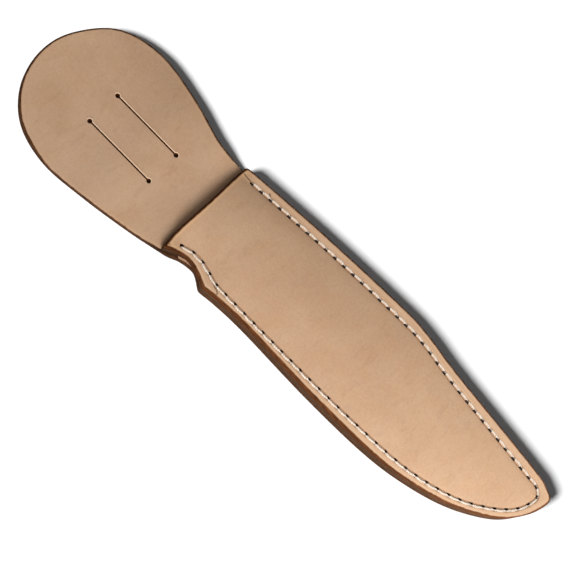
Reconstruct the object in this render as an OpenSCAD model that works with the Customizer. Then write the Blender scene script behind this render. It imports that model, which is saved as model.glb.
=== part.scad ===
// Leather knife sheath with a large belt tab. Three layers of leather (back, welt
// and front) are sewn together along the outline of the blade, and the back runs on
// past the mouth as a tab with two belt slits.
// +X runs from the mouth to the tip, +Y towards the blade's spine and +Z out of the
// front panel. The origin is the middle of the mouth, on the back face that rests
// against the wearer.

/* [Pocket] */
// Length from the mouth to the tip
pocket_len = 215; // [205:1:225]
// Width across the pocket at its widest, from the belly edge to the spine edge
pocket_w = 65; // [62:0.5:68]
// Width across the mouth
mouth_w = 58; // [56:0.5:60]
// How far the mouth's edge bows out over the tab
mouth_bow = 1.5; // [0.5:0.1:2.5]
// How far the front panel is moulded up over the blade at the mouth
crown_h = 3.6; // [2:0.2:4.4]

/* [Leather] */
// Thickness of the back and the belt tab
back_t = 3.2; // [2.8:0.1:3.6]
// Thickness of the welt, the filler strip between the back and the front
welt_t = 3.2; // [2.4:0.1:4]
// Thickness of the front panel
front_t = 3.2; // [2.8:0.1:3.6]
// Width of the welt inside the seam
welt_inside_seam = 4.6; // [3.5:0.1:6]

/* [Belt tab] */
// Length from the mouth to the tab's far end
tab_len = 105; // [98:1:112]
// Width across the tab at its widest
tab_w = 80; // [76:1:84]
// Length of a belt slit between the centres of its two stop holes
slit_len = 38.6; // [32:0.1:42]
// Distance between the two belt slits
slit_gap = 18.9; // [15:0.1:24]
// Distance from the mouth to the middle of the slits
slit_from_mouth = 46.7; // [42:0.1:50]
// Width of the knife cut
slit_w = 0.6; // [0.4:0.1:1]
// Diameter of the round stop hole at each end of a slit
stop_hole_d = 2.2; // [1.8:0.1:3]

/* [Stitching] */
// Stitches along the belly, from the mouth to the tip
belly_stitches = 36; // [30:1:40]
// Stitches along the spine, from the tip to the mouth
spine_stitches = 35; // [30:1:40]
// Diameter of the waxed thread
thread_d = 1; // [0.8:0.05:1.1]
// Diameter of the stitch holes
hole_d = 1.8; // [1.6:0.1:2]
// Width of the groove that the stitches lie in
groove_w = 1.4; // [1.3:0.05:1.6]
// Depth of that groove in the front panel
front_groove = 0.6; // [0.3:0.1:0.9]

/* [Tab flex] */
// Distance from the mouth to the line where the tab flexes
flex_from_mouth = 8; // [6:0.5:12]
// Radial clearance round the flex line
flex_gap = 0.08; // [0.05:0.01:0.1]

/* [Hidden] */

welt_z = back_t;
front_z = welt_z + welt_t;
top_z = front_z + front_t;
flex_x = -flex_from_mouth;
steps = 6;
reach = 400;
clear = 0.05;

// The crown is the top of a long cylinder: its width at the mouth, its middle there,
// and how it sinks and swings towards the tip
crown_w = mouth_w - 18;
crown_y = 1.3;
crown_end = pocket_len * 0.91;
crown_sink = atan(crown_h / crown_end);
crown_swing = 3;
crown_r = (crown_w * crown_w / 4 + crown_h * crown_h) / (2 * crown_h);

// The pattern is drawn for a pocket 215 long and 65 wide, with a tab 105 long and
// 80 wide, and stretched to the driving dimensions.
function fit_pocket(p) = [p[0] * pocket_len / 215, p[1] * pocket_w / 65];
function fit_tab(p) = [p[0] * tab_len / 105, p[1] * tab_w / 80];

// A smooth curve through a list of points (Catmull-Rom)
function curve_point(a, b, c, d, t) =
    (2 * b + (c - a) * t + (2 * a - 5 * b + 4 * c - d) * t * t
        + (3 * b - a - 3 * c + d) * t * t * t) / 2;
function smooth(p) = let (n = len(p)) [
    for (i = [0:n - 2], k = [0:steps - 1])
        curve_point(p[max(i - 1, 0)], p[i], p[i + 1], p[min(i + 2, n - 1)], k / steps),
    p[n - 1]
];

// A path without its first point, for joining it to the end of another
function rest(p) = [for (i = [1:len(p) - 1]) p[i]];

// A path moved sideways to its left by d
function beside(p, d) = [
    for (i = [0:len(p) - 1])
        let (a = p[max(i - 1, 0)], b = p[min(i + 1, len(p) - 1)], t = (b - a) / norm(b - a))
            p[i] + d * [-t[1], t[0]]
];

// Points at equal steps of length along a path
function lengths(p) = [
    for (i = 0, s = 0; i < len(p); s = s + norm(p[min(i + 1, len(p) - 1)] - p[i]), i = i + 1) s
];
function spaced(p, count) = let (
    s = lengths(p),
    xs = [for (i = [0:len(p) - 1]) [s[i], p[i][0]]],
    ys = [for (i = [0:len(p) - 1]) [s[i], p[i][1]]]
) [
    for (k = [0:count]) let (at = s[len(s) - 1] * k / count) [lookup(at, xs), lookup(at, ys)]
];

// Edges, listed with the pocket on their left: belly from mouth to tip, then spine back
belly_mouth = [-0.8, -mouth_w / 2 - 0.6];
spine_mouth = [0.3, mouth_w / 2 - 0.4];
notch_corner = fit_pocket([25, -29.8]);
tip = fit_pocket([208.5, 23.7]);

belly_edge = smooth([
    notch_corner,
    for (p = [
        [36, -28.5], [54, -27.9], [95, -28.8], [132, -27.8], [157, -24], [180, -16.8],
        [200, -5.1], [210.2, 7], [214.3, 17.5], [213.2, 21.4]
    ]) fit_pocket(p),
    tip
]);
spine_edge = smooth([
    tip,
    for (p = [[198, 26], [140, 31.9], [118, 35.1], [100, 35.8], [50, 33.1], [9, 29.6]])
        fit_pocket(p),
    spine_mouth
]);

// The notch below the mouth, for the knife's guard. The welt is set back from it, so a strip
// of the back shows between the layers.
front_notch = smooth([
    belly_mouth, [1.4, -28.3], [3.6, -27.3], [6.2, -26.3], [10.4, -25.3], [14.5, -25.6], [19, -27.1],
    notch_corner
]);
welt_notch = smooth([
    belly_mouth, [1.4, -28.2], [3.6, -27], [6.2, -25.7], [10.4, -24.1], [14.5, -23.8], [19, -24.9],
    notch_corner
]);
back_notch = smooth([
    belly_mouth, [3.3, -28.6], [5.8, -27.5], [8.3, -26.3], [11.2, -25.5], [14.5, -25], [18.4, -25.3],
    notch_corner
]);

tab_edge = smooth([
    spine_mouth,
    for (p = [
        [-18, 30.5], [-40, 36.8], [-66, 40.6], [-88.3, 34], [-101.8, 15.5], [-105, -2.5],
        [-99.5, -20.5], [-86, -34], [-66, -39.5], [-42, -37.5], [-17, -33.3]
    ]) fit_tab(p),
    belly_mouth
]);

// The front panel's free edge, with its two corners eased
mouth_edge = smooth([
    spine_mouth + [1.2, 0.2],
    spine_mouth + [0, -0.1],
    spine_mouth + [-0.5, -1.1],
    spine_mouth + [-0.8, -3.5],
    [-mouth_bow, mouth_w / 4],
    [-mouth_bow - 0.6, 0],
    [-mouth_bow - 0.8, -mouth_w / 4],
    belly_mouth + [-0.7, 5.5],
    belly_mouth + [-0.3, 1.2],
    belly_mouth + [0.1, 0.1],
    belly_mouth + [1.2, 0.9]
]);

back_outline = concat(back_notch, rest(belly_edge), rest(spine_edge), rest(tab_edge));
function pocket_outline(notch) = concat(
    [for (p = notch) if (p[0] > mouth_edge[len(mouth_edge) - 1][0] + 0.5) p],
    rest(belly_edge),
    [for (p = rest(spine_edge)) if (p[0] > mouth_edge[0][0] + 0.5) p],
    mouth_edge
);
front_outline = pocket_outline(front_notch);
welt_outline = pocket_outline(welt_notch);

// Seam, about 5 mm in from the edge, again with the pocket's middle on its left
belly_seam = smooth([
    [4.8, -22.9], [10.2, -21.3], [15.7, -21.2], [21.2, -22.3], [26.5, -24],
    for (p = [
        [38, -24.5], [95, -24.4], [133, -23], [155, -20.6], [178, -14.1], [194, -5],
        [203.5, 3.6], [207.6, 11.5], [208.2, 16.3]
    ]) fit_pocket(p)
]);
spine_seam = smooth([
    for (p = [
        [208.2, 16.3], [205.8, 19.4], [199, 20.4], [142, 26.3], [120, 29.6], [104, 30.2],
        [55, 28], [7, 24.3]
    ]) fit_pocket(p)
]);
holes = concat(
    spaced(belly_seam, belly_stitches),
    rest(spaced(spine_seam, spine_stitches))
);

// Solid plate of an outline between two heights
module plate(outline, z0, z1) {
    translate([0, 0, z0])
        linear_extrude(z1 - z0)
            polygon(outline);
}

// Long cylinder along Y, centred on the flex line
module flex_round(radius) {
    translate([flex_x, 0, back_t / 2])
        rotate([90, 0, 0])
            cylinder(h = reach, r = radius, center = true, $fn = 48);
}

// Everything on the tab's side of the flex line
module tab_side() {
    translate([flex_x - reach, -reach / 2, -reach / 2])
        cube([reach, reach, reach]);
}

// Every stitch hole, between two heights
module stitch_holes(z0, z1) {
    for (h = holes)
        translate([h[0], h[1], z0])
            cylinder(h = z1 - z0, d = hole_d, $fn = 24);
}

// Straight groove between every two holes, its floor at z0 and open at z1. It starts
// and ends inside the holes, so neighbouring grooves don't touch.
module stitch_grooves(z0, z1) {
    start = hole_d / 4;
    for (i = [0:len(holes) - 2])
        let (a = holes[i], d = holes[i + 1] - a)
            translate([a[0], a[1], z0])
                rotate([0, 0, atan2(d[1], d[0])])
                    translate([start, -groove_w / 2, 0])
                        cube([norm(d) - 2 * start, groove_w, z1 - z0]);
}

// Cylinder that the front panel is moulded over: its top stands crown_h above the
// panel at the mouth, and sinks into it just short of the tip
module blade_form(radius) {
    translate([0, crown_y, top_z + crown_h - crown_r])
        rotate([0, 90 + crown_sink, crown_swing])
            translate([0, 0, -pocket_len / 4])
                cylinder(h = pocket_len * 1.5, r = radius, $fn = 180);
}

// Space between the welt's inner edges, open at the mouth
module blade_space(z0, z1) {
    belly_side = beside(belly_seam, welt_inside_seam);
    spine_side = beside(spine_seam, welt_inside_seam);
    last = len(spine_side) - 1;
    translate([0, 0, z0])
        linear_extrude(z1 - z0)
            intersection() {
                polygon(concat(
                    [[-reach, belly_side[0][1]]], belly_side, [[reach, reach], [-reach, reach]]
                ));
                polygon(concat(
                    [[reach, -reach], [reach, spine_side[0][1]]],
                    [for (p = spine_side) if (p[0] < pocket_len * 0.93) p],
                    [[-reach, spine_side[last][1]], [-reach, -reach]]
                ));
            }
}

// One thread: a stitch between each pair of holes at height z, and a leg in each
// hole that ends at height z_lock, where it meets the other thread. A round knuckle
// at each hole takes the ends of the stitches and the leg.
module thread(z, z_lock) {
    knuckle_d = thread_d * 1.2;
    start = thread_d / 4;
    toward_lock = sign(z_lock - z);
    for (h = holes) {
        translate([h[0], h[1], z])
            sphere(d = knuckle_d, $fn = 48);
        translate([h[0], h[1], min(z + toward_lock * start, z_lock)])
            cylinder(h = abs(z_lock - z) - start, d = thread_d, $fn = 48);
    }
    for (i = [0:len(holes) - 2])
        let (a = holes[i], d = holes[i + 1] - a)
            translate([a[0], a[1], z])
                rotate([0, 90, atan2(d[1], d[0])])
                    translate([0, 0, start])
                        cylinder(h = norm(d) - 2 * start, d = thread_d, $fn = 48);
}

// Back panel, up to the flex line
module back_panel() {
    color("#B98A62")
        difference() {
            plate(back_outline, 0, back_t);
            tab_side();
            flex_round(back_t / 2 + flex_gap);
            stitch_holes(-1, back_t + 1);
            stitch_grooves(-1, thread_d + 2 * clear);
        }
}

// Belt tab. It is the same piece of leather as the back panel, parted from it at the flex line
module belt_tab() {
    color("#C89F7A")
        difference() {
            intersection() {
                plate(back_outline, 0, back_t);
                union() {
                    tab_side();
                    flex_round(back_t / 2);
                }
            }
            for (side = [-1, 1])
                translate([-slit_from_mouth, side * slit_gap / 2, -1]) {
                    translate([-slit_len / 2, -slit_w / 2, 0])
                        cube([slit_len, slit_w, back_t + 2]);
                    for (end = [-1, 1])
                        translate([end * slit_len / 2, 0, 0])
                            cylinder(h = back_t + 2, d = stop_hole_d, $fn = 24);
                }
        }
}

// Welt, the filler strip that keeps the blade's edge off the stitches
module welt() {
    color("#8F6A4A")
        difference() {
            plate(welt_outline, welt_z, front_z);
            blade_space(welt_z - 1, front_z + 1);
            stitch_holes(welt_z - 1, front_z + 1);
        }
}

// Front panel, moulded up over the blade
module front_panel() {
    color("#D6B08A")
        difference() {
            union() {
                plate(front_outline, front_z, top_z);
                intersection() {
                    plate(front_outline, front_z, top_z + 2 * crown_h);
                    blade_form(crown_r);
                }
            }
            blade_form(crown_r - front_t);
            stitch_holes(front_z - 1, top_z + 1);
            stitch_grooves(top_z - front_groove, top_z + 1);
        }
}

// Thread on the front, lying in its groove
module front_thread() {
    color("#EFE8DC")
        thread(top_z - front_groove + thread_d / 2 + clear, top_z / 2 + clear);
}

// Thread on the back, sunk below the back face
module back_thread() {
    color("#E4DCCD")
        thread(thread_d / 2 + clear, top_z / 2 - clear);
}

back_panel();
belt_tab();
welt();
front_panel();
front_thread();
back_thread();
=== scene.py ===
"""Leather knife sheath: the visual model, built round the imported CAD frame. Lengths here are in mm."""

import math

import bpy
import numpy as np
from mathutils import Matrix, Vector, noise
from mathutils.geometry import delaunay_2d_cdt
from mathutils.kdtree import KDTree


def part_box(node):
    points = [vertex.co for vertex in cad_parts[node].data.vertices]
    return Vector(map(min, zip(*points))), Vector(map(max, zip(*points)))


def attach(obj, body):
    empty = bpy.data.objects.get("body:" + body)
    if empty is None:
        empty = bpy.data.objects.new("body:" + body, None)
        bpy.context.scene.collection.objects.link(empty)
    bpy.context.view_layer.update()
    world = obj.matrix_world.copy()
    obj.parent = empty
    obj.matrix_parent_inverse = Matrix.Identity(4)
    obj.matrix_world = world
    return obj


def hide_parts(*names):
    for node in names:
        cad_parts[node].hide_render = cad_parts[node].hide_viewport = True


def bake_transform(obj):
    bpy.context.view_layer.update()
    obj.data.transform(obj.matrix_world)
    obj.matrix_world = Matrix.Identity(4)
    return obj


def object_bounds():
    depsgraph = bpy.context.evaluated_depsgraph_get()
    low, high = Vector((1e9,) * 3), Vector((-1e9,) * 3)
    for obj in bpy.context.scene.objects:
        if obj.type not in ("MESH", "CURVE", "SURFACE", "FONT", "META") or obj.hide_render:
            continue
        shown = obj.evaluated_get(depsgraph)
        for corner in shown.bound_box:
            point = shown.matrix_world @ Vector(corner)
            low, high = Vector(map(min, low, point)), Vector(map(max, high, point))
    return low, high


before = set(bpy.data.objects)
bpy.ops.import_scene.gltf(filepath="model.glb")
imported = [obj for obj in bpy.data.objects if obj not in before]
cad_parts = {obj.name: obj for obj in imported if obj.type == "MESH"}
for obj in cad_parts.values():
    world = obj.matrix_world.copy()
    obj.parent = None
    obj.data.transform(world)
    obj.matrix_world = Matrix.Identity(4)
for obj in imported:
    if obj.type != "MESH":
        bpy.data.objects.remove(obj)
CAD_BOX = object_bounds()

MM = 0.001
BACK_TOP = round(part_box("back_panel")[1].z / MM, 3)
WELT_TOP = round(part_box("welt")[1].z / MM, 3)
FRONT_TOP = WELT_TOP + BACK_TOP

# Stitch holes: half length along the seam, half width, and the radius of their rims
HOLE_LONG = 1.1
HOLE_WIDE = 0.62
HOLE_RIM = 0.22
# The thread has drawn each hole this far to the inner side of the seam
BELLY_HOLE_INWARD = 0.3
SPINE_HOLE_INWARD = 0.24
# In the CAD, a loop shorter than the first is a stitch hole, and one longer than the second is a slit
STITCH_HOLE_ROUND = 8
SLIT_ROUND = 30

# The stitching groove
GROOVE_HALF = 1.1
GROOVE_FLAT = 0.4
GROOVE_DEPTH = 0.6

# Thread
STRANDS = 3
STRAND_SIDES = 8
STRAND_STEP = 0.17
STRAND_OFFSET = 0.29
STRAND_R = 0.31
TWIST_PITCH = 3.4
# The thread's middle lies about this far above the groove's floor on the front
THREAD_RISE = 0.42
# Each stitch bows this far to the outer side between its holes
THREAD_OUTWARD = 0.62
# The thread sits this much deeper in its groove on the spine side
SPINE_SUNK = 0.2
# The two threads lock this far above and below the middle of the seam
LOCK_HALF = 0.4

# Radii of the rounded edges: the back's lower and upper edge, the front's upper edge, the edges
# between the layers, and the rims of the belt slits
BACK_LOW_EDGE_R = 0.35
BACK_EDGE_R = 0.9
FRONT_EDGE_R = 1.25
LAYER_R = 0.28
SLIT_RIM = 0.42

# Spacing of the points on outlines, on the seam, and inside the sheets
OUTLINE_STEP = 0.7
SEAM_STEP = 0.25
GRID_STEP = 1.7
WELT_GRID_STEP = 2.5
ROUNDING_STEPS = 5
# Distances that the materials use are stored up to this
FAR = 12

# How far the front is moulded up over the blade, how far from the seam that starts, and where it ends
CROWN_H = 3.9
CROWN_MARGIN = 1.2
CROWN_END = 212

# How far the arch at the mouth draws the free edge back, for each mm of its height
MOUTH_DRAW = 0.27

# How far the tab's rim curls up on the spine side, and the stretches of X and Y over which it grows
CURL_H = 3.2
CURL_X = (0, -18)
CURL_Y = (-10, 32)
# How far the rim is drawn in on X and Y, for each mm that it curls up
CURL_DRAW = (0.098, -0.444)

# How far the stitches pull the leather down, and how far from the seam
SEAM_DIP = 0.16
SEAM_DIP_HALF = 1.7

# Small shapes in the surface
MARK_DEPTH = 0.35
SLIT_LIP_H = 0.2
FRONT_WAVE = 0.05
BACK_WAVE = 0.06

# Groover and knife marks beside the seam on the front
MARKS = [
    [(26.6, -24.3), (28.4, -25.3), (30.2, -25.9), (31.2, -26.5), (31.8, -27.3)],
    [(6.2, 24.5), (3.8, 24.7), (1.1, 24.9)],
    [(16.2, 27.2), (17.9, 25.7)],
]


# ---------------------------------------------------------------- outlines from the CAD

def flat_loops(node, height):
    """Outlines of a CAD node's flat faces at one height, longest first and anticlockwise."""
    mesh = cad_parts[node].data
    points = [tuple(round(c / MM, 3) for c in v.co) for v in mesh.vertices]
    edges = set()
    for face in mesh.polygons:
        corners = [points[i] for i in face.vertices]
        if all(abs(p[2] - height) < 0.02 for p in corners):
            flat = [p[:2] for p in corners]
            edges.update(zip(flat, flat[1:] + flat[:1]))
    onward = {a: b for a, b in sorted(edges) if (b, a) not in edges}
    loops = []
    while onward:
        at = min(onward)
        loop = []
        while at in onward:
            loop.append(at)
            at = onward.pop(at)
        if len(loop) > 2:
            loops.append(anticlockwise(np.array(loop)))
    return sorted(loops, key=perimeter, reverse=True)


def perimeter(loop):
    return np.linalg.norm(np.roll(loop, -1, 0) - loop, axis=1).sum()


def area(loop):
    x, y = loop.T
    return 0.5 * np.sum(x * np.roll(y, -1) - y * np.roll(x, -1))


def anticlockwise(loop):
    return loop if area(loop) > 0 else loop[::-1]


def arc_lengths(path):
    return np.concatenate([[0], np.cumsum(np.linalg.norm(np.diff(path, axis=0), axis=1))])


def curve(points, step, closed=False, corner=40, soften=0):
    """Even points along a smooth curve through the given points. Turns sharper than corner, in degrees,
    stay sharp, unless soften, a number of smoothing passes, rounds them."""
    same_place = 0.08
    fine_steps = 12
    keep = np.linalg.norm(points - np.roll(points, 1, 0), axis=1) > same_place
    if not closed:
        keep[0] = True
    p = points[keep]
    if closed:
        p = np.vstack([p, p[:1]])
    chord = np.diff(p, axis=0)
    length = np.linalg.norm(chord, axis=1)
    slope = chord / length[:, None]
    before = np.vstack([slope[-1:] if closed else slope[:1], slope])
    after = np.vstack([slope, slope[:1] if closed else slope[-1:]])
    before_len = np.concatenate([[length[-1] if closed else length[0]], length])
    after_len = np.concatenate([length, [length[0] if closed else length[-1]]])
    tangent = (before * after_len[:, None] + after * before_len[:, None])
    tangent /= (before_len + after_len)[:, None]
    sharp = np.sum(before * after, axis=1) < math.cos(math.radians(corner))
    leave = np.where(sharp[:, None], after, tangent)[:-1]
    arrive = np.where(sharp[:, None], before, tangent)[1:]
    t = np.linspace(0, 1, fine_steps + 1)[:-1][None, :, None]
    a, b = p[:-1, None], p[1:, None]
    m, n = leave[:, None] * length[:, None, None], arrive[:, None] * length[:, None, None]
    fine = (2 * t**3 - 3 * t**2 + 1) * a + (t**3 - 2 * t**2 + t) * m
    fine += (3 * t**2 - 2 * t**3) * b + (t**3 - t**2) * n
    fine = np.vstack([fine.reshape(-1, 2), p[-1:]])
    along = arc_lengths(fine)
    count = max(2, round(along[-1] / step))
    at = np.linspace(0, along[-1], count + 1)
    even = np.column_stack([np.interp(at, along, fine[:, k]) for k in (0, 1)])
    if closed:
        even = even[:-1]
    for _ in range(soften):
        even = (np.roll(even, 1, 0) + 2 * even + np.roll(even, -1, 0)) / 4
    return even


def cut_loop(loop, keep):
    """The kept run of a loop's points, in order."""
    start = next(i for i in range(len(loop)) if keep[i] and not keep[i - 1])
    order = [(start + i) % len(loop) for i in range(len(loop))]
    return np.array([loop[i] for i in order if keep[i]])


def nearest(points, path):
    """For each point, the distance to the nearest point of a path, and that point's index."""
    tree = KDTree(len(path))
    for i, (x, y) in enumerate(path):
        tree.insert((x, y, 0), i)
    tree.balance()
    found = [tree.find((x, y, 0)) for x, y in points]
    return np.array([f[2] for f in found]), np.array([f[1] for f in found])


def inside(points, loop):
    """Even-odd test of points in a loop, some of them at a time to save memory."""
    batch = 4000
    result = np.zeros(len(points), bool)
    x, y = points[:, :1], points[:, 1:]
    a, b = loop, np.roll(loop, -1, 0)
    for i in range(0, len(points), batch):
        px, py = x[i:i + batch], y[i:i + batch]
        cross = (a[:, 1] > py) != (b[:, 1] > py)
        rise = np.where(b[:, 1] == a[:, 1], 1e-9, b[:, 1] - a[:, 1])
        at = a[:, 0] + (py - a[:, 1]) * (b[:, 0] - a[:, 0]) / rise
        result[i:i + batch] = (np.sum(cross & (px < at), axis=1) % 2) == 1
    return result


def back_outline():
    """The whole back with its tab, as one outline, from the two CAD nodes that stand for it."""
    panel = flat_loops("back_panel", BACK_TOP)[0]
    tab = flat_loops("belt_tab", BACK_TOP)[0]
    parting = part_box("back_panel")[0].x / MM
    clear = 1.5
    joined = np.vstack([
        cut_loop(panel, panel[:, 0] > parting + clear),
        cut_loop(tab, tab[:, 0] < parting - clear),
    ])
    return curve(joined, OUTLINE_STEP, closed=True, soften=3)


def front_outline():
    """The front panel's outline: its sides from the flat face below, its mouth edge from the walls."""
    loop = flat_loops("front_panel", WELT_TOP)[0]
    edge_zone = 3
    mouth_zone = 1.4
    near_edge = nearest(loop, BACK)[0] < edge_zone
    sides = cut_loop(loop, near_edge & (loop[:, 0] > mouth_zone + 0.1))
    points = np.array([v.co[:2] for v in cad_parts["front_panel"].data.vertices]) / MM
    mouth = left_side(points[points[:, 0] < mouth_zone])
    return curve(np.vstack([sides, mouth]), OUTLINE_STEP, closed=True, soften=1)


def left_side(points):
    """The side of a bulging set of points that faces -X, from high y to low."""
    chain = []
    for p in points[np.lexsort((points[:, 0], -points[:, 1]))]:
        while len(chain) > 1:
            a, b = chain[-1] - chain[-2], p - chain[-1]
            if a[0] * b[1] - a[1] * b[0] > 1e-4:
                break
            chain.pop()
        chain.append(p)
    return np.array(chain)


def seam_holes():
    """Centres of the stitch holes: from the mouth along the belly, round the tip and up the spine."""
    loops = flat_loops("back_panel", BACK_TOP)[1:]
    centres = [loop.mean(0) for loop in loops if perimeter(loop) < STITCH_HOLE_ROUND]
    at = min(range(len(centres)), key=lambda i: centres[i][0] + centres[i][1])
    ordered = [centres.pop(at)]
    while centres:
        at = min(range(len(centres)), key=lambda i: np.linalg.norm(centres[i] - ordered[-1]))
        ordered.append(centres.pop(at))
    return np.array(ordered)


BACK = back_outline()
HOLES = seam_holes()
FRONT = front_outline()
SEAM = curve(HOLES, SEAM_STEP, corner=60)
SEAM_DIR = np.gradient(SEAM, axis=0)
SEAM_DIR /= np.linalg.norm(SEAM_DIR, axis=1)[:, None]
SEAM_LEFT = np.column_stack([-SEAM_DIR[:, 1], SEAM_DIR[:, 0]])
HOLE_AT = nearest(HOLES, SEAM)[1]
HOLE_DIR = SEAM_DIR[HOLE_AT]
HOLE_INWARD = np.where(HOLES[:, 1:] < 0, BELLY_HOLE_INWARD, SPINE_HOLE_INWARD)
# Where the holes are in the worn leather, and points along the middle of each
OPEN_HOLES = HOLES + HOLE_INWARD * SEAM_LEFT[HOLE_AT]
HOLE_SPOTS = np.vstack([OPEN_HOLES + k * HOLE_DIR for k in (-0.5, -0.25, 0, 0.25, 0.5)])
# The seam, run on past the mouth at both ends, for measuring how far inside it a point is
RUN_ON = np.linspace(30, 0.5, 60)[:, None]
LONG_SEAM = np.vstack([SEAM[0] - RUN_ON * [1, 0], SEAM, SEAM[-1] - RUN_ON[::-1] * [1, 0]])
TIP_AT = LONG_SEAM[:, 0].argmax()
BELLY_SIDE = LONG_SEAM[:TIP_AT]
SPINE_SIDE = LONG_SEAM[TIP_AT:]
MARK_PATH = np.vstack([curve(np.array(mark), 0.2) for mark in MARKS])
SLITS = [loop for loop in flat_loops("belt_tab", BACK_TOP)[1:] if perimeter(loop) > SLIT_ROUND]


# ---------------------------------------------------------------- shaping the leather

def ramp(value, start, end):
    """Smooth step from 0 at start to 1 at end."""
    t = np.clip((value - start) / (end - start), 0, 1)
    return t * t * (3 - 2 * t)


def wander(points, size, seed):
    """Slow random variation, about -1 to 1, with features about size mm across."""
    return np.array([noise.noise(Vector((x / size + seed, y / size, seed * 0.37))) for x, y in points])


def groove(points):
    """How deep the stitching groove is at each point."""
    distance, index = nearest(points, SEAM)
    depth = GROOVE_DEPTH * (1 - ramp(distance, GROOVE_FLAT, GROOVE_HALF))
    past_end = ((index == 0) | (index == len(SEAM) - 1)) & (distance > 0.9)
    return np.where(past_end, 0, depth)


def crown(points):
    """How far the front panel stands up over the blade: an arch between the two sides of the seam."""
    within = inside(points, np.vstack([LONG_SEAM, LONG_SEAM[:1]]))
    belly = np.maximum(nearest(points, BELLY_SIDE)[0] - CROWN_MARGIN, 0)
    spine = np.maximum(nearest(points, SPINE_SIDE)[0] - CROWN_MARGIN, 0)
    arch = np.where(within, 4 * belly * spine / np.maximum(belly + spine, 1) ** 2, 0)
    along = np.clip(1 - points[:, 0] / CROWN_END, 0, 1.05)
    return CROWN_H * along**0.8 * arch


def seam_dip(points):
    """The stitches pull the leather down a little along the seam."""
    distance = nearest(points, SEAM)[0]
    return SEAM_DIP * np.exp(-(distance / SEAM_DIP_HALF) ** 2)


def mark_strength(points):
    """1 in the middle of a groover or knife mark, 0 away from it."""
    distance = nearest(points, MARK_PATH)[0]
    return 1 - ramp(distance, 0.1, 0.42)


def front_shape(points, share):
    """Height added to the front at each point, from its underside (share 0) to its top (share 1)."""
    under = crown(points)
    top = under - groove(points) - seam_dip(points) + FRONT_WAVE * wander(points, size=22, seed=3)
    top -= MARK_DEPTH * mark_strength(points)
    return under + (top - under) * share, mouth_drawn_back(points, under)


def burnish_reach(points, shape):
    """How much further in than usual the edge is burnished: over the back's ledge beside the notch and
    round the tab, and less on the belly side of the tab and of the tip."""
    x, y = points.T
    if shape is front_shape:
        tip_belly = ramp(x, 110, 160) * ramp(y, 14, 4)
        return -0.5 * tip_belly
    if shape is not back_shape:
        return np.zeros(len(x))
    ledge = ramp(x, -1, 1) * (1 - ramp(x, 6, 8)) * (y < -20)
    tab = ramp(x, -2, -10)
    tab_belly = ramp(y, -12, -24) * ramp(x, -78, -62)
    return 1.6 * ledge + tab * (0.4 - 0.7 * tab_belly)


def slit_lip(points):
    """1 at the rim of a belt slit, falling to 0 about 1 mm away."""
    rims = np.vstack([curve(s, 0.4, closed=True, corner=50) for s in SLITS])
    return np.exp(-(nearest(points, rims)[0] / 0.8) ** 2) * ramp(slit_side(points), -0.2, 0.2)


def slit_side(points):
    """How far a point is to the +Y side of the belt slit it is nearest to."""
    middles = np.array([slit.mean(0)[1] for slit in SLITS])
    away = points[:, 1:] - middles
    return away[np.arange(len(points)), abs(away).argmin(1)]


def back_shape(points, share):
    """Height added to the back at each point. Its grooves are in the underside."""
    wave = BACK_WAVE * wander(points, size=26, seed=7) * ramp(points[:, 0], -2, -12)
    top = SLIT_LIP_H * slit_lip(points) + wave
    under = groove(points)
    rise = tab_curl(points)
    return under + (top - under) * share + rise, drawn_in(points, rise)


def tab_curl(points):
    """The tab's rim curls up a little on the spine side."""
    x, y = points.T
    return CURL_H * ramp(x, *CURL_X) * ramp(y, *CURL_Y)


def drawn_in(points, rise):
    """Where the tab curls up, its rim is drawn in as it turns."""
    return points + rise[:, None] * CURL_DRAW


def mouth_drawn_back(points, rise):
    """The arch at the mouth draws the free edge back a little."""
    return points + (MOUTH_DRAW * rise * (1 - ramp(points[:, 0], -2, 14)))[:, None] * [1, 0]


def flat_shape(points, share):
    """The welt stays flat, and its points stay where they are."""
    return np.zeros(len(points)), points


# ---------------------------------------------------------------- meshes

def shifted(loop, distance):
    """A closed loop moved to its left, which is into the leather."""
    ahead = np.roll(loop, -1, 0) - loop
    ahead /= np.linalg.norm(ahead, axis=1)[:, None]
    behind = np.roll(ahead, 1, 0)
    normal = np.column_stack([-(ahead + behind)[:, 1], (ahead + behind)[:, 0]])
    normal /= np.linalg.norm(normal, axis=1)[:, None]
    spread = np.maximum(np.sum(normal * np.column_stack([-ahead[:, 1], ahead[:, 0]]), axis=1), 0.7)
    return loop + normal * (distance / spread)[:, None]


def wall_profile(low, high, low_r, high_r):
    """(distance in from the edge, height) pairs round a rounded edge, from the top to the bottom."""
    turn = np.linspace(math.pi / 2, 0, ROUNDING_STEPS + 1)
    top = [(high_r * (1 - math.cos(a)), high - high_r + high_r * math.sin(a)) for a in turn]
    middle = [(0, high - high_r + (low + low_r - high + high_r) * t) for t in (0.33, 0.67)]
    bottom = [(low_r * (1 - math.cos(a)), low + low_r - low_r * math.sin(a)) for a in turn[::-1]]
    return top + middle + bottom


def hex_grid(loop, step):
    """Points on a triangular grid over a loop's box."""
    low, high = loop.min(0), loop.max(0)
    rows = np.arange(low[1], high[1], step * 0.866)
    points = []
    for i, y in enumerate(rows):
        xs = np.arange(low[0] + (i % 2) * step / 2, high[0], step)
        points.append(np.column_stack([xs, np.full(len(xs), y)]))
    return np.vstack(points)


def beside(path, left, offsets):
    """Rows of points along a path, at the given distances to its left."""
    return np.vstack([path + left * d for d in offsets])


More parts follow.
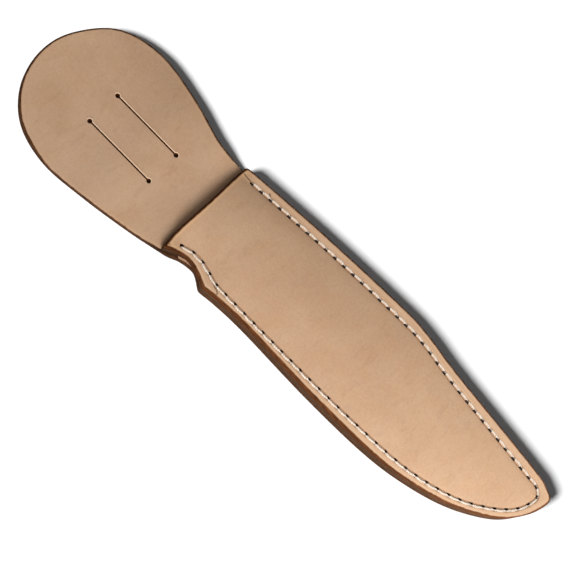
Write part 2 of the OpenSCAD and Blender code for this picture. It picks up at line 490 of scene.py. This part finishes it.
def seam_points():
    """Dense rows over the stitching groove and over the marks."""
    sparse = slice(None, None, 2)
    rows = [0, 0.35, 0.55, 0.75, 0.95, 1.25, 1.8, 2.6]
    offsets = sorted(set(rows + [-r for r in rows]))
    marks = [beside(MARK_PATH, np.array([0.6, 0.8]), [k * 0.28 for k in range(-3, 4)])]
    marks += [beside(MARK_PATH, np.array([0.6, -0.8]), [k * 0.28 for k in range(-3, 4)])]
    return np.vstack([beside(SEAM[sparse], SEAM_LEFT[sparse], offsets)] + marks)


def slit_points():
    """Rows beside the two belt slits."""
    rows = []
    for slit in SLITS:
        loop = curve(slit, 0.6, closed=True, corner=50)[::-1]
        rows += [shifted(loop, d) for d in (0.5, 0.9, 1.4, 2.1)]
    return np.vstack(rows)


def fill(loops, extra):
    """Triangles between an outline and its holes, through the extra points. Gives the points, the
    triangles, which ring point each point was, and how many ring points there are."""
    clear = 0.3
    cell = 0.24
    outer = loops[0]
    rings = np.vstack(loops)
    extra = extra[inside(extra, outer)]
    extra = extra[nearest(extra, rings)[0] > clear]
    for hole in loops[1:]:
        close = np.flatnonzero(np.linalg.norm(extra - hole.mean(0), axis=1) < perimeter(hole) / 2)
        extra = np.delete(extra, close[inside(extra[close], hole)], axis=0)
    # One point where several fall together
    cells = {}
    for i, (x, y) in enumerate(extra):
        cells.setdefault((round(x / cell), round(y / cell)), i)
    extra = extra[sorted(cells.values())]
    edges = []
    first = 0
    for loop in loops:
        n = len(loop)
        edges += [(first + i, first + (i + 1) % n) for i in range(n)]
        first += n
    points = np.vstack([rings, extra])
    verts, _, faces, origin, _, _ = delaunay_2d_cdt(
        [Vector(p) for p in points], edges, [], 0, 1e-5, True
    )
    made = np.array([tuple(v) for v in verts])
    source = np.array([ids[0] if ids else len(points) for ids in origin])
    return made, leather_only(made, faces, source, loops), source, len(rings)


def leather_only(points, faces, source, loops):
    """The triangles that lie in the outline and in no hole. Only a triangle with all its corners on one
    loop can lie outside."""
    loop_of = np.concatenate([[k] * len(loop) for k, loop in enumerate(loops)] + [[-1]])
    faces = np.array(faces)
    corner_loop = loop_of[np.minimum(source[faces], len(loop_of) - 1)]
    doubtful = (corner_loop[:, 0] >= 0) & (corner_loop == corner_loop[:, :1]).all(1)
    keep = ~doubtful
    middle = points[faces].mean(1)
    for k, loop in enumerate(loops):
        mine = np.flatnonzero(doubtful & (corner_loop[:, 0] == k))
        if len(mine):
            keep[mine] = inside(middle[mine], loop) == (k == 0)
    return faces[keep].tolist()


class Layout:
    """A flat leather sheet in the making: where its points are, and the faces between them.

    share is how high each point is in the leather, from 0 to 1. cut is 0 on the outside of the leather
    and rises to 1 on the walls of a hole."""

    def __init__(self, low, high):
        self.low = low
        self.high = high
        self.plan = []
        self.share = []
        self.cut = []
        self.faces = []

    def add_wall(self, loop, low_r, high_r, is_hole):
        """The wall at a loop, with rounded edges. Gives its highest and its lowest row of points."""
        n = len(loop)
        rows = []
        profile = wall_profile(self.low, self.high, low_r, high_r)
        for step, (distance, z) in enumerate(profile):
            rows.append(range(len(self.plan), len(self.plan) + n))
            self.plan += list(shifted(loop, distance))
            self.share += [(z - self.low) / (self.high - self.low)] * n
            depth = min(step, len(profile) - 1 - step) / (ROUNDING_STEPS - 1)
            self.cut += [min(depth, 1) if is_hole else 0] * n
        for a, b in zip(rows, rows[1:]):
            self.faces += [(a[i], b[i], b[(i + 1) % n], a[(i + 1) % n]) for i in range(n)]
        return list(rows[0]), list(rows[-1])

    def add_side(self, rings, extra, on_top):
        """The upper or the lower side of the leather, filled in between the ends of the walls."""
        loops = [np.array([self.plan[i] for i in ring]) for ring in rings]
        made, triangles, source, ring_count = fill(loops, extra)
        in_place = [i for ring in rings for i in ring]
        index = []
        for point, origin in zip(made, source):
            if 0 <= origin < ring_count:
                index.append(in_place[origin])
            else:
                index.append(len(self.plan))
                self.plan.append(point)
                self.share.append(1.0 if on_top else 0.0)
                self.cut.append(0)
        for triangle in triangles:
            face = [index[i] for i in triangle]
            self.faces.append(face if on_top else face[::-1])


def sheet(name, outline, holes, low, high, radii, hole_radii, shape, extra):
    """A closed leather sheet: walls round the outline and each hole, and a filled face on each side.

    radii are the outline's edge radii below and above. hole_radii has the same for stitch holes and, if
    there are any, for slits. shape() gives each point's rise and place."""
    layout = Layout(low, high)
    ends = [layout.add_wall(outline, *radii, is_hole=False)]
    for hole in holes:
        rim_radii = hole_radii[int(perimeter(hole) > SLIT_ROUND)]
        ends.append(layout.add_wall(anticlockwise(hole)[::-1], *rim_radii, is_hole=True))
    top_rings, low_rings = zip(*ends)
    layout.add_side(top_rings, extra, on_top=True)
    layout.add_side(low_rings, extra, on_top=False)
    plan, share, cut = np.array(layout.plan), np.array(layout.share), np.array(layout.cut)
    rise, placed = shape(plan, share)
    z = low + (high - low) * share + rise
    obj = new_mesh(name, np.column_stack([placed, z]), layout.faces)
    if shape is back_shape:
        # A belt slit keeps its pale fresh-cut rim on its +Y side alone, partly a painted highlight where
        # that rim faces the light; on the -Y side, in shade, the rim takes the grain colour
        shaded_slit_rim = (slit_side(plan) < -0.15) & (plan[:, 0] < -20) & (cut < 0.9)
        cut = np.where(shaded_slit_rim, 0, cut)
    from_edge = nearest(plan, outline)[0] - burnish_reach(plan, shape)
    paint(obj, "share", share)
    paint(obj, "cut", cut)
    paint(obj, "edge", np.clip(from_edge, 0, FAR))
    paint(obj, "hole", np.minimum(nearest(plan, HOLE_SPOTS)[0], FAR))
    paint(obj, "seam", np.minimum(nearest(plan, SEAM)[0], FAR))
    paint(obj, "mark", mark_strength(plan))
    return obj


def new_mesh(name, points, faces):
    """A smooth-shaded mesh from points in mm."""
    mesh = bpy.data.meshes.new(name)
    mesh.from_pydata([tuple(p) for p in np.asarray(points) * MM], [], [list(f) for f in faces])
    mesh.validate()
    mesh.update()
    mesh.polygons.foreach_set("use_smooth", [True] * len(mesh.polygons))
    obj = bpy.data.objects.new(name, mesh)
    bpy.context.scene.collection.objects.link(obj)
    return obj


def paint(obj, name, values):
    """Store one number per point for the materials."""
    layer = obj.data.attributes.new(name, "FLOAT", "POINT")
    layer.data.foreach_set("value", np.asarray(values, np.float32))


def hole_ring(centre, direction, long, wide, count=18):
    """An oval stitch hole, longer along the seam."""
    turn = np.linspace(0, 2 * math.pi, count, endpoint=False)
    left = np.array([-direction[1], direction[0]])
    return centre + np.outer(long * np.cos(turn), direction) + np.outer(wide * np.sin(turn), left)


def stitch_rings():
    """The loops of the stitch holes, no two of quite the same size."""
    rings = []
    for i, (centre, direction) in enumerate(zip(OPEN_HOLES, HOLE_DIR)):
        grow = 1 + 0.12 * noise.noise(Vector((i * 1.7, 0.3, 0)))
        rings.append(hole_ring(centre, direction, HOLE_LONG * grow, HOLE_WIDE * grow))
    return rings


# ---------------------------------------------------------------- thread

def stitch_path(z_face, z_lock):
    """The thread's middle line: up a hole, along the groove, down the next, and turned at the lock."""
    toward = 1 if z_face > z_lock else -1
    points = []
    left = []
    for i in range(len(HOLES) - 1):
        a, b = HOLES[i], HOLES[i + 1]
        pitch = np.linalg.norm(b - a)
        direction = (b - a) / pitch
        side = np.array([-direction[1], direction[0]])
        sway = 0.18 * noise.noise(Vector((i * 2.3, 5.1, z_face)))
        lift = 0.05 * noise.noise(Vector((i * 3.1, 1.7, z_face))) - SPINE_SUNK * float(a[1] > 0)
        # Distance along and height of points on half a stitch: out of the hole, and along the groove
        half = [(0.3, z_lock - z_face), (0.3, 0.55 * (z_lock - z_face))]
        half += [(0.32, -1.0 * toward), (0.42, -0.5 * toward), (0.66, -0.18 * toward)]
        half += [(1.05, (lift - 0.03) * toward), (1.6, (lift + 0.02) * toward)]
        full = half + [(pitch / 2, (lift + 0.03) * toward)] + [(pitch - u, z) for u, z in half[::-1]]
        for u, z in full:
            bow = (sway - THREAD_OUTWARD) * math.sin(math.pi * u / pitch) ** 0.7
            points.append([*(a + direction * u + side * bow), z_face + z])
            left.append([*side, 0])
    return np.array(points), np.array(left)


def smooth_path(points, left, step):
    """A rounded path through the points, evenly spaced, with its sideways direction."""
    along = arc_lengths(points)
    count = int(along[-1] / step)
    at = np.linspace(0, along[-1], count)
    path = np.column_stack([np.interp(at, along, points[:, k]) for k in range(3)])
    side = np.column_stack([np.interp(at, along, left[:, k]) for k in range(3)])
    for _ in range(3):
        path[1:-1] = (path[:-2] + 2 * path[1:-1] + path[2:]) / 4
    side /= np.linalg.norm(side, axis=1)[:, None]
    return path, side


def tube(path, side, radius, sides):
    """Points and faces of a round tube with closed ends."""
    tangent = np.gradient(path, axis=0)
    tangent /= np.linalg.norm(tangent, axis=1)[:, None]
    up = np.cross(tangent, side)
    up /= np.linalg.norm(up, axis=1)[:, None]
    turn = np.linspace(0, 2 * math.pi, sides, endpoint=False)
    ring = path[:, None] + radius * (
        np.cos(turn)[None, :, None] * side[:, None] + np.sin(turn)[None, :, None] * up[:, None]
    )
    faces = []
    for i in range(len(path) - 1):
        for k in range(sides):
            n = (k + 1) % sides
            faces.append((i * sides + k, i * sides + n, (i + 1) * sides + n, (i + 1) * sides + k))
    faces.append(list(range(sides))[::-1])
    faces.append([(len(path) - 1) * sides + k for k in range(sides)])
    return ring.reshape(-1, 3), faces


def twisted_thread(name, z_face, z_lock):
    """Twisted strands along the stitch path."""
    path, side = smooth_path(*stitch_path(z_face, z_lock), STRAND_STEP)
    tangent = np.gradient(path, axis=0)
    tangent /= np.linalg.norm(tangent, axis=1)[:, None]
    up = np.cross(tangent, side)
    along = arc_lengths(path)
    points, faces, strand = [], [], []
    for k in range(STRANDS):
        turn = 2 * math.pi * (along / TWIST_PITCH + k / STRANDS)
        offset = np.cos(turn)[:, None] * side + np.sin(turn)[:, None] * up
        more, more_faces = tube(path + STRAND_OFFSET * offset, side, STRAND_R, STRAND_SIDES)
        faces += [[len(points) + i for i in f] for f in more_faces]
        points += list(more)
        strand += [k / (STRANDS - 1)] * len(more)
    obj = new_mesh(name, points, faces)
    paint(obj, "strand", strand)
    paint(obj, "hole", np.minimum(nearest(np.array(points)[:, :2], HOLE_SPOTS)[0], FAR))
    return obj


# ---------------------------------------------------------------- materials

def rgb(r, g, b):
    """Linear colour from sRGB 0-255 values."""
    def linear(c):
        c /= 255
        return c / 12.92 if c <= 0.04045 else ((c + 0.055) / 1.055) ** 2.4
    return (linear(r), linear(g), linear(b), 1)


class Material:
    """A small builder for node materials. Inputs are numbers, colours or other nodes' outputs."""

    def __init__(self, name):
        self.material = bpy.data.materials.new(name)
        self.material.use_nodes = True
        self.tree = self.material.node_tree
        self.tree.nodes.clear()
        self.where = self.add("ShaderNodeTexCoord").outputs["Object"]

    def add(self, kind, inputs=None, **settings):
        made = self.tree.nodes.new(kind)
        for key, value in settings.items():
            setattr(made, key, value)
        for key, value in (inputs or {}).items():
            self.put(made.inputs[key], value)
        return made

    def put(self, socket, value):
        if isinstance(value, bpy.types.NodeSocket):
            self.tree.links.new(value, socket)
        else:
            socket.default_value = value

    def attribute(self, name):
        return self.add("ShaderNodeAttribute", attribute_name=name).outputs["Fac"]

    def stretch(self, x, y, z):
        inputs = {"Vector": self.where, "Scale": (x, y, z)}
        return self.add("ShaderNodeMapping", inputs).outputs["Vector"]

    def noise(self, size, detail=4, rough=0.55, vector=None, distortion=0):
        """Noise from 0 to 1 with features about size mm across."""
        inputs = {"Vector": vector or self.where, "Scale": 1 / (size * MM), "Detail": detail,
                  "Roughness": rough, "Distortion": distortion}
        return self.add("ShaderNodeTexNoise", inputs).outputs["Fac"]

    def stripes(self, across, width):
        """Uneven lines about width mm wide, at equal values of across."""
        waver = self.math("MULTIPLY", self.noise(60, 1), 2)
        where = self.add("ShaderNodeCombineXYZ", {0: across, 1: waver})
        return self.noise(width / MM, 2, 0.6, vector=where.outputs[0])

    def along(self, stops):
        """Brightness that changes along X, through (x in mm, brightness) stops."""
        x = self.add("ShaderNodeSeparateXYZ", {0: self.where}).outputs[0]
        first, last = stops[0][0], stops[-1][0]
        share = self.add("ShaderNodeMapRange", {0: x, 1: first * MM, 2: last * MM}).outputs[0]
        made = self.add("ShaderNodeValToRGB", {0: share})
        ramp = made.color_ramp.elements
        while len(ramp) < len(stops):
            ramp.new(0.5)
        for element, (place, level) in zip(ramp, stops):
            element.position = (place - first) / (last - first)
            element.color = (level, level, level, 1)
        return made.outputs[0]

    def cells(self, size):
        """Distance to the middle of the nearest of many cells about size mm across."""
        inputs = {"Vector": self.where, "Scale": 1 / (size * MM)}
        return self.add("ShaderNodeTexVoronoi", inputs).outputs["Distance"]

    def ramp(self, value, start, end, low=0.0, high=1.0):
        """Smoothly from low at start to high at end."""
        inputs = {0: value, 1: start, 2: end, 3: low, 4: high}
        return self.add("ShaderNodeMapRange", inputs, interpolation_type="SMOOTHSTEP").outputs[0]

    def math(self, operation, a, b=0.0):
        return self.add("ShaderNodeMath", {0: a, 1: b}, operation=operation).outputs[0]

    def mix(self, share, a, b, blend="MIX"):
        made = self.add("ShaderNodeMix", {0: share, 6: a, 7: b}, data_type="RGBA", blend_type=blend)
        return made.outputs[2]

    def bump(self, height, strength, distance, normal=None):
        inputs = {"Height": height, "Strength": strength, "Distance": distance * MM}
        if normal is not None:
            inputs["Normal"] = normal
        return self.add("ShaderNodeBump", inputs).outputs["Normal"]

    def finish(self, colour, roughness, normal, **more):
        inputs = {"Base Color": colour, "Roughness": roughness, "Normal": normal}
        inputs.update({key.replace("_", " "): value for key, value in more.items()})
        shader = self.add("ShaderNodeBsdfPrincipled", inputs)
        self.add("ShaderNodeOutputMaterial", {"Surface": shader.outputs[0]})
        return self.material


# Painted light and shade on the burnished edges along X: painted shade in the notch, painted light
# toward the tip
WALL_LIGHT_AND_SHADE = [(-12, 0.67), (-2, 0.42), (9, 0.5), (22, 0.67), (140, 0.67), (190, 1.0)]


def grain_colour(m, light, dark, tone, pores):
    """The grain side: cloudy, with warmer patches, specks, streaks and darker pores, times the painted
    light and shade along X.
    """
    clouds = m.noise(34, 3, 0.5, distortion=0.6)
    patches = m.noise(9, 4, 0.6)
    specks = m.noise(1.1, 3, 0.7)
    streaks = m.noise(3.2, 4, 0.6, vector=m.stretch(1.0, 0.35, 1.0), distortion=0.8)
    colour = m.mix(m.ramp(clouds, 0.3, 0.7), light, dark)
    warm = m.mix(1.0, colour, (1.0, 0.965, 0.92, 1), "MULTIPLY")
    colour = m.mix(m.ramp(patches, 0.35, 0.7), colour, warm)
    colour = m.mix(m.ramp(specks, 0.3, 0.75, 0, 0.14), colour, rgb(120, 84, 56))
    colour = m.mix(m.ramp(streaks, 0.5, 0.72, 0, 0.10), colour, rgb(128, 92, 64))
    colour = m.mix(m.ramp(pores, 0.05, 0.28, 0.12, 0.0), colour, rgb(110, 72, 46))
    # Painted light and shade: the brightness along X that tone gives
    return m.mix(1.0, colour, m.along(tone), "MULTIPLY")


def flesh_colour(m):
    """The flesh side, below: a fibrous nap with browner blotches."""
    nap = m.noise(0.8, 5, 0.75, vector=m.stretch(1, 1.5, 1))
    colour = m.mix(m.ramp(nap, 0.3, 0.7), rgb(196, 170, 138), rgb(150, 120, 90))
    return m.mix(m.ramp(m.noise(16, 3, 0.6), 0.35, 0.7), colour, rgb(168, 136, 104))


def edge_lines(m, colour, edge, bevel, line_light, lined):
    """Fine lines along the edge, a golden tint instead of them at the mouth, and a painted highlight: a
    pale line on the crest beside the bevel."""
    lines = m.stripes(edge, 0.42)
    strip = m.math("MULTIPLY", m.ramp(edge, 5.0, 3.6, 0, lined), m.along([(3, 0), (9, 1)]))
    golden = m.math("MULTIPLY", m.ramp(edge, 4.5, 1.0, 0, 0.8 * lined), m.along([(3, 1), (9, 0)]))
    colour = m.mix(golden, colour, rgb(196, 146, 94))
    colour = m.mix(m.math("MULTIPLY", m.ramp(lines, 0.35, 0.75), strip), colour, line_light)
    # Painted highlight on the crest beside the bevel
    crest_highlight = m.math("MULTIPLY", m.ramp(edge, bevel, bevel + 0.3), m.ramp(edge, bevel + 1.4, 1.6))
    return m.mix(m.math("MULTIPLY", crest_highlight, 0.7 * lined), colour, line_light)


def groove_shade(m, colour):
    """Painted shade on the sides of the stitching groove."""
    seam = m.attribute("seam")
    shade = m.math("MULTIPLY", m.ramp(seam, 0.25, 0.6), m.ramp(seam, 1.3, 0.8))
    return m.mix(m.math("MULTIPLY", shade, 0.6), colour, rgb(116, 80, 54))


def leather_bump(m, pores, fibres, near_edge):
    """Grain and pores all over, and fibres on the burnished edge."""
    normal = m.bump(m.noise(0.42, 3, 0.6), 0.10, 0.06)
    normal = m.bump(pores, 0.12, 0.05, normal)
    normal = m.bump(m.noise(2.4, 4, 0.6), 0.24, 0.12, normal)
    wall = m.math("MULTIPLY", m.ramp(fibres, 0.25, 0.75), near_edge)
    return m.bump(wall, 0.25, 0.25, normal)


def leather(name, light, dark, wall_light, wall_dark, burnish, line_light, lined, tone, flesh=False):
    """Vegetable-tanned leather: mottled grain side, burnished edge, fibrous wall, and a flesh side.

    burnish is how far in the edge is fully burnished, and where that ends. lined, from 0 to 1, is how
    clear the fine lines along the edge, the golden tint at the mouth and the painted highlight beside
    the bevel are. tone holds the painted light and shade along X."""
    m = Material(name)
    edge = m.attribute("edge")
    pores = m.cells(0.55)
    colour = grain_colour(m, light, dark, tone, pores)
    if flesh:
        colour = m.mix(m.ramp(m.attribute("share"), 0.02, 0.0), colour, flesh_colour(m))
    colour = edge_lines(m, colour, edge, burnish[1], line_light, lined)
    colour = groove_shade(m, colour)
    # Burnished edge and wall
    ragged = m.math("ADD", edge, m.ramp(m.noise(2.6, 3, 0.6), 0.3, 0.7, -0.1, 0.1))
    near_edge = m.ramp(ragged, burnish[1], burnish[0])
    fibres = m.noise(1.0, 4, 0.65, vector=m.stretch(0.22, 0.22, 1.6))
    brown = m.mix(m.ramp(fibres, 0.3, 0.7), wall_light, wall_dark)
    # Painted light and shade along X on the burnished edge and wall
    brown = m.mix(1.0, brown, m.along(WALL_LIGHT_AND_SHADE), "MULTIPLY")
    colour = m.mix(near_edge, colour, brown)
    # Pale fresh-cut rims of slits and holes, on a slit's +Y side partly a painted highlight; painted
    # shade on the deep walls of slits and holes and round the stitch holes; darker marks
    cut = m.attribute("cut")
    colour = m.mix(m.ramp(cut, 0.0, 0.3, 0, 0.9), colour, rgb(252, 222, 190))
    # Painted shade on the deep walls of slits and holes
    colour = m.mix(m.ramp(cut, 0.8, 1.0), colour, rgb(98, 52, 22))
    # Painted shade in and round the stitch holes, and the marks darker
    hole_shade_and_mark = m.math("MAXIMUM", m.ramp(m.attribute("hole"), 0.84, 0.66), m.attribute("mark"))
    colour = m.mix(m.math("MULTIPLY", hole_shade_and_mark, 0.8), colour, rgb(58, 30, 14))
    # Little shine on the burnished edge, and none in cuts, holes and marks
    shine = m.ramp(near_edge, 0.1, 0.7, 0.22, 0.02)
    shine = m.math("MULTIPLY", shine, m.math("SUBTRACT", 1, m.math("MAXIMUM", hole_shade_and_mark, cut)))
    rough = m.ramp(m.noise(3, 4, 0.6), 0.3, 0.7, 0.6, 0.72)
    normal = leather_bump(m, pores, fibres, near_edge)
    return m.finish(colour, rough, normal, Specular_IOR_Level=shine)


def waxed_thread():
    """Off-white waxed thread, with one strand a little darker, and painted shade where it goes into a
    hole.
    """
    m = Material("waxed_thread")
    fibre = m.noise(0.5, 4, 0.7)
    colour = m.mix(m.ramp(fibre, 0.3, 0.7), rgb(248, 236, 224), rgb(216, 199, 181))
    strand = m.attribute("strand")
    colour = m.mix(m.ramp(strand, 0.8, 1.0, 0, 0.25), colour, rgb(190, 166, 138))
    hole = m.attribute("hole")
    # Painted shade on the thread where it goes into a hole
    colour = m.mix(m.ramp(hole, 0.58, 0.38, 0, 0.96), colour, rgb(40, 20, 9))
    normal = m.bump(fibre, 0.3, 0.08)
    return m.finish(colour, 0.48, normal, Specular_IOR_Level=m.ramp(hole, 0.5, 0.9, 0.0, 0.4))


def floor_material():
    """Plain, pale and matt."""
    m = Material("floor")
    tone = m.mix(m.noise(400, 2), rgb(246, 247, 248), rgb(250, 250, 250))
    return m.finish(tone, 0.9, m.bump(m.noise(2), 0.02, 0.02), Specular_IOR_Level=0.0)


# ---------------------------------------------------------------- the sheath

HOLES_CUT = stitch_rings()
SLITS_CUT = [curve(s, 0.45, closed=True, corner=50) for s in SLITS]

seam_rows = seam_points()
back = sheet(
    "back_and_tab", BACK, HOLES_CUT + SLITS_CUT, 0, BACK_TOP,
    radii=(BACK_LOW_EDGE_R, BACK_EDGE_R), hole_radii=[(0.2, 0.2), (0.2, SLIT_RIM)], shape=back_shape,
    extra=np.vstack([seam_rows, slit_points(), hex_grid(BACK, GRID_STEP)]),
)
front = sheet(
    "front", FRONT, HOLES_CUT, WELT_TOP, FRONT_TOP,
    radii=(LAYER_R, FRONT_EDGE_R), hole_radii=[(0.15, HOLE_RIM)], shape=front_shape,
    extra=np.vstack([seam_rows, hex_grid(FRONT, GRID_STEP)]),
)
WELT = curve(flat_loops("welt", BACK_TOP)[0], OUTLINE_STEP, closed=True, soften=2)
welt = sheet(
    "welt_strip", WELT, HOLES_CUT, BACK_TOP, WELT_TOP,
    radii=(LAYER_R, LAYER_R), hole_radii=[(0.1, 0.1)], shape=flat_shape,
    extra=hex_grid(WELT, WELT_GRID_STEP),
)
LOCK = FRONT_TOP / 2
front_thread = twisted_thread("thread_front", FRONT_TOP - GROOVE_DEPTH + THREAD_RISE, LOCK + LOCK_HALF)
back_thread = twisted_thread("thread_back", GROOVE_DEPTH, LOCK - LOCK_HALF)

back.data.materials.append(leather(
    "back_leather", light=rgb(224, 186, 154), dark=rgb(214, 175, 142),
    wall_light=rgb(120, 79, 50), wall_dark=rgb(75, 48, 30), burnish=(0.4, 0.95),
    line_light=rgb(230, 192, 159), lined=0.12,
    # tone: painted light and shade along the back and its tab
    tone=[(-100, 0.92), (-70, 0.86), (-48, 0.77), (-30, 0.85), (-12, 0.8)], flesh=True))
front.data.materials.append(leather(
    "front_leather", light=rgb(223, 184, 150), dark=rgb(215, 175, 141),
    wall_light=rgb(135, 80, 43), wall_dark=rgb(84, 48, 26), burnish=(0.8, 1.4),
    line_light=rgb(232, 194, 158), lined=0.5,
    # tone: painted light along X, brighter toward the tip
    tone=[(5, 0.76), (90, 0.79), (150, 0.85), (195, 0.95)]))
welt.data.materials.append(leather(
    "welt_leather", light=rgb(128, 100, 76), dark=rgb(112, 86, 64),
    wall_light=rgb(118, 86, 62), wall_dark=rgb(82, 58, 41), burnish=(0.5, 2.0),
    line_light=rgb(128, 100, 76), lined=0, tone=[(0, 1.0), (200, 1.0)]))
thread_look = waxed_thread()
front_thread.data.materials.append(thread_look)
back_thread.data.materials.append(thread_look)

for piece, node, slot in (
    (front, "front_panel", "front_leather"),
    (welt, "welt", "welt_leather"),
    (front_thread, "front_thread", "waxed_thread"),
    (back_thread, "back_thread", "waxed_thread"),
):
    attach(piece, "pocket")
    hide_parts(node)
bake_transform(back)
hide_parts("back_panel", "belt_tab")


# ---------------------------------------------------------------- studio

def add_floor():
    """A large plain floor just below the sheath."""
    gap = 0.1
    half = 4000
    z = CAD_BOX[0].z / MM - gap
    corners = [(-half, -half, z), (half, -half, z), (half, half, z), (-half, half, z)]
    floor = new_mesh("floor", corners, [(0, 1, 2, 3)])
    floor.data.materials.append(floor_material())


def area_light(name, place, target, size, watts, colour=(1, 1, 1)):
    """A round soft light at place that points at target. size is its diameter in mm."""
    data = bpy.data.lights.new(name, "AREA")
    data.shape = "DISK"
    data.size = size * MM
    data.energy = watts
    data.color = colour
    obj = bpy.data.objects.new(name, data)
    bpy.context.scene.collection.objects.link(obj)
    obj.location = Vector(place) * MM
    aim = Vector(target) - Vector(place)
    obj.rotation_euler = aim.to_track_quat("-Z", "Y").to_euler()
    return obj


def sun_light(name, toward, spread, strength):
    """A far light in the direction toward, even over the whole floor. spread, its width as an angle in
    radians, softens the shadows."""
    data = bpy.data.lights.new(name, "SUN")
    data.angle = spread
    data.energy = strength
    obj = bpy.data.objects.new(name, data)
    bpy.context.scene.collection.objects.link(obj)
    obj.rotation_euler = (-Vector(toward)).to_track_quat("-Z", "Y").to_euler()
    return obj


def lit_only(light, objects):
    """The light falls on these objects alone."""
    group = bpy.data.collections.new(light.name + "_lights")
    for obj in objects:
        group.objects.link(obj)
    light.light_linking.receiver_collection = group


def add_world(seen, ambient):
    """Pale to the camera, and a dim even light on everything else."""
    world = bpy.data.worlds.new("studio")
    bpy.context.scene.world = world
    world.use_nodes = True
    tree = world.node_tree
    background = tree.nodes["Background"]
    background.inputs["Color"].default_value = (1, 1, 1, 1)
    path = tree.nodes.new("ShaderNodeLightPath")
    scale = tree.nodes.new("ShaderNodeMapRange")
    scale.inputs[3].default_value = ambient
    scale.inputs[4].default_value = seen
    tree.links.new(path.outputs["Is Camera Ray"], scale.inputs[0])
    tree.links.new(scale.outputs[0], background.inputs["Strength"])


def add_camera(place, target, up, lens):
    """The camera at place, pointed at target, with up upwards in the picture."""
    data = bpy.data.cameras.new("camera")
    data.lens = lens
    data.clip_start = 0.01
    data.clip_end = 100
    obj = bpy.data.objects.new("camera", data)
    bpy.context.scene.collection.objects.link(obj)
    back = (Vector(place) - Vector(target)).normalized()
    right = Vector(up).cross(back).normalized()
    turn = Matrix((right, back.cross(right), back)).transposed()
    obj.matrix_world = Matrix.Translation(Vector(place) * MM) @ turn.to_4x4()
    bpy.context.scene.camera = obj


add_floor()
key_light = area_light("key", place=(215, -290, 430), target=(70, 0, 0), size=270, watts=2.6)
tip_light = area_light("tip_side", place=(420, -150, 330), target=(120, 0, 0), size=320, watts=0.6)
top_light = area_light("top_fill", place=(60, 0, 1500), target=(60, 0, 0), size=1200, watts=5.0,
                       colour=(1, 0.96, 0.9))
floor_light = sun_light("floor", toward=(-900, -1870, 1660), spread=0.312, strength=5.8)
floor_fill = sun_light("floor_fill", toward=(0, 1900, 2000), spread=0.32, strength=0.31)
for light in (key_light, tip_light, top_light):
    lit_only(light, [back, front, welt, front_thread, back_thread])
for light in (floor_light, floor_fill):
    lit_only(light, [bpy.data.objects["floor"]])
add_world(seen=1.0, ambient=0.006)
# The photograph's viewing angle
add_camera(place=(5.2, -276.2, 670.1), target=(53.9, 4.05, 0), up=(-0.6756, 0.7373, 0), lens=96.46)
bpy.context.scene.view_settings.view_transform = "Standard"
